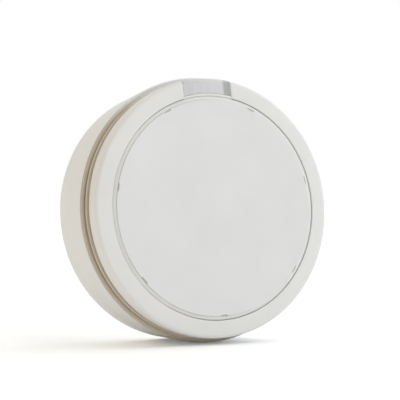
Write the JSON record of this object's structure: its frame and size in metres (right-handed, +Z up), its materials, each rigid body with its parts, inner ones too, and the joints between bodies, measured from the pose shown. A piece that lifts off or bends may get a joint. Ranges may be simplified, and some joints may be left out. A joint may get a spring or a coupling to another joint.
{
  "type": "smoke and heat detector",
  "caption": "Round wall-hung smoke and heat detector: tapered housing on a bayonet plate, inlet gap, ring cover with a translucent light window, and a press-to-test face.",
  "frame": {"origin": "middle of the mounting plate's back face on the wall, halfway between the two screw slots", "axes": "+Z up with the indicator window at the top, the front face towards -Y, +Y into the wall"},
  "size_m": [0.1178, 0.042, 0.1178],
  "materials": {
    "white_plastic": "fine matt moulded surface",
    "shaded_plastic": "fine matt moulded surface, deep in the inlet gap",
    "frosted_plastic": "translucent, lightly frosted",
    "black_plastic": "matt",
    "dark_lens": "clear dark lens",
    "green_board": "solder-masked board",
    "cell_wrap": "shrink-wrapped",
    "steel": "bright nickel-plated",
    "brass": "bright",
    "can_aluminium": "drawn can"
  },
  "bodies": {
    "wall_plate": {"mounting_plate": "white_plastic"},
    "head": {"rear_housing": "white_plastic", "door_pin": "steel", "cells": "cell_wrap", "positive_contacts": "steel", "negative_contacts": "steel", "main_pcb": "green_board", "front_cover": "white_plastic", "indicator_window": "frosted_plastic", "status_leds": "frosted_plastic", "inlet_grille": "shaded_plastic", "button_springs": "steel", "button_switch": "black_plastic", "chamber_base": "black_plastic", "ir_led": "dark_lens", "photodiode": "dark_lens", "chamber_cap": "black_plastic", "insect_screen": "steel", "sounder_case": "black_plastic", "piezo_disc": "brass", "tamper_switch": "black_plastic", "heat_sensor": "black_plastic", "radio_board": "green_board", "shield_can": "steel", "antenna": "brass", "circuit_chips": "black_plastic", "capacitors": "can_aluminium", "case_screws": "steel"},
    "test_button": {"button_cap": "white_plastic", "face_disc": "white_plastic"},
    "switch_plunger": {"switch_plunger": "black_plastic"},
    "battery_door": {"battery_door": "white_plastic"},
    "tamper_rod": {"tamper_rod": "black_plastic"}
  },
  "joints": [
    {"name": "head_twist", "type": "hinge", "parent": "wall_plate", "child": "head", "pos_m": [0, 0, 0], "axis": [0, -1, 0], "range_deg": [0, 20]},
    {"name": "button_press", "type": "slide", "parent": "head", "child": "test_button", "axis": [0, 1, 0], "range_m": [0, 0.0005], "stiffness_N_per_m": 4000, "springref_m": -0.0005, "deforming": ["button_springs"]},
    {"name": "switch_press", "type": "slide", "parent": "head", "child": "switch_plunger", "axis": [0, 1, 0], "range_m": [0, 0.0005]},
    {"name": "door_swing", "type": "hinge", "parent": "head", "child": "battery_door", "pos_m": [0, -0.005, 0.02055], "axis": [1, 0, 0], "range_deg": [0, 100]},
    {"name": "tamper_press", "type": "slide", "parent": "head", "child": "tamper_rod", "axis": [0, -1, 0], "range_m": [0, 0.0008], "stiffness_N_per_m": 400, "springref_m": -0.0015}
  ],
  "couplings": [
    {"joint": "switch_press", "follows": "button_press", "ratio": 1}
  ]
}
